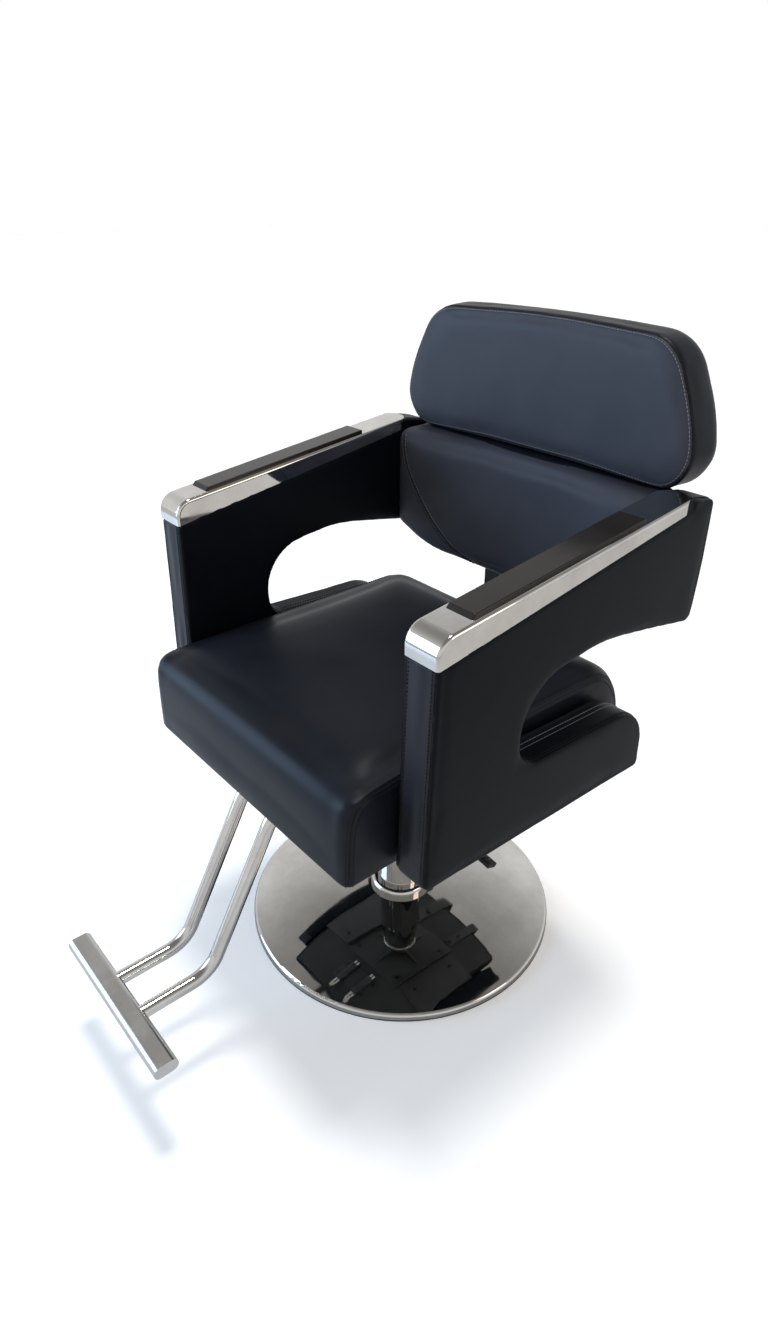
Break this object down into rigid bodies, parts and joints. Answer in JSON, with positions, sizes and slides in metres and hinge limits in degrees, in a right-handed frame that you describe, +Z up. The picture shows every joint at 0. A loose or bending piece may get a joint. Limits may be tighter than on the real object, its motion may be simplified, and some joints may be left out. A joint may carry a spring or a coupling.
{
  "type": "threading chair",
  "caption": "Salon threading chair on a round base with a foot pump lift, swivel seat, capped C-shaped arms, T-bar footrest and a tilting head pad.",
  "frame": {"origin": "on the floor, in the axis of the round base and the pump column", "axes": "+Z up, +Y towards the back of the chair, +X towards the sitter's left arm; the sitter faces -Y"},
  "size_m": [0.642, 0.9045, 1.0293],
  "materials": {
    "chrome": "mirror plating",
    "satin_chrome": "satin plating",
    "satin_chrome_plastic": "plated plastic, satin",
    "black_rubber": "matt",
    "black_plastic": "polished",
    "black_leather": "soft satin, fine grain, over foam",
    "plywood": "raw",
    "covered_board": "plywood under a black dust cover",
    "black_steel": "powder coat",
    "brass": "turned",
    "bright_steel": "zinc plated"
  },
  "bodies": {
    "base": {"base_cover": "chrome", "floor_ring": "black_rubber", "base_plate": "black_steel", "base_bolts": "bright_steel", "column_collar": "chrome", "pump_cylinder": "chrome", "pump_cap": "chrome", "guide_bush": "brass", "valve_block": "black_steel", "pedal_pivot": "bright_steel"},
    "plunger": {"pump_plunger": "bright_steel"},
    "pedal": {"pedal_lever": "black_steel", "pedal_tread": "black_rubber"},
    "ram": {"pump_ram": "bright_steel", "swivel_washer": "brass"},
    "seat": {"seat_plate": "black_steel", "seat_plate_bolts": "bright_steel", "seat_board": "covered_board", "seat_cushion": "black_leather", "arm_panel_left": "black_leather", "arm_panel_right": "black_leather", "arm_core_left": "plywood", "arm_core_right": "plywood", "arm_cap_left": "chrome", "arm_cap_right": "chrome", "armrest_left": "black_plastic", "armrest_right": "black_plastic", "arm_bracket_left": "black_steel", "arm_bracket_right": "black_steel", "arm_bolts": "bright_steel", "arm_bracket_bolts": "bright_steel", "lower_back_pad": "black_leather", "lower_back_board": "covered_board", "back_upright_left": "black_steel", "back_upright_right": "black_steel", "upright_bolts": "bright_steel", "hinge_lower_left": "bright_steel", "hinge_lower_right": "bright_steel", "hinge_pins": "bright_steel", "lower_hinge_screws": "bright_steel", "footrest_tube_left": "chrome", "footrest_tube_right": "chrome", "footrest_bar": "satin_chrome", "footrest_end_cap_left": "satin_chrome_plastic", "footrest_end_cap_right": "satin_chrome_plastic", "footrest_clamp": "black_steel", "footrest_bolts": "bright_steel"},
    "head": {"head_pad": "black_leather", "head_board": "covered_board", "hinge_upper_left": "bright_steel", "hinge_upper_right": "bright_steel", "upper_hinge_screws": "bright_steel"}
  },
  "joints": [
    {"name": "seat_lift", "type": "slide", "parent": "base", "child": "ram", "axis": [0, 0, 1], "range_m": [0, 0.13]},
    {"name": "seat_swivel", "type": "hinge", "parent": "ram", "child": "seat", "pos_m": [0, 0, 0.369], "axis": [0, 0, 1], "continuous": true},
    {"name": "head_tilt", "type": "hinge", "parent": "seat", "child": "head", "pos_m": [0, 0.3035, 0.81], "axis": [-1, 0, 0], "range_deg": [0, 40]},
    {"name": "pedal_press", "type": "hinge", "parent": "base", "child": "pedal", "pos_m": [0, 0.072, 0.084], "axis": [-1, 0, 0], "range_deg": [0, 15], "stiffness_Nm_per_rad": 8, "springref_deg": -17.19},
    {"name": "pump_stroke", "type": "slide", "parent": "base", "child": "plunger", "axis": [0, 0, 1], "range_m": [0, 0.0048]}
  ],
  "couplings": [
    {"joint": "pump_stroke", "follows": "pedal_press", "m_per_rad": 0.0178}
  ]
}
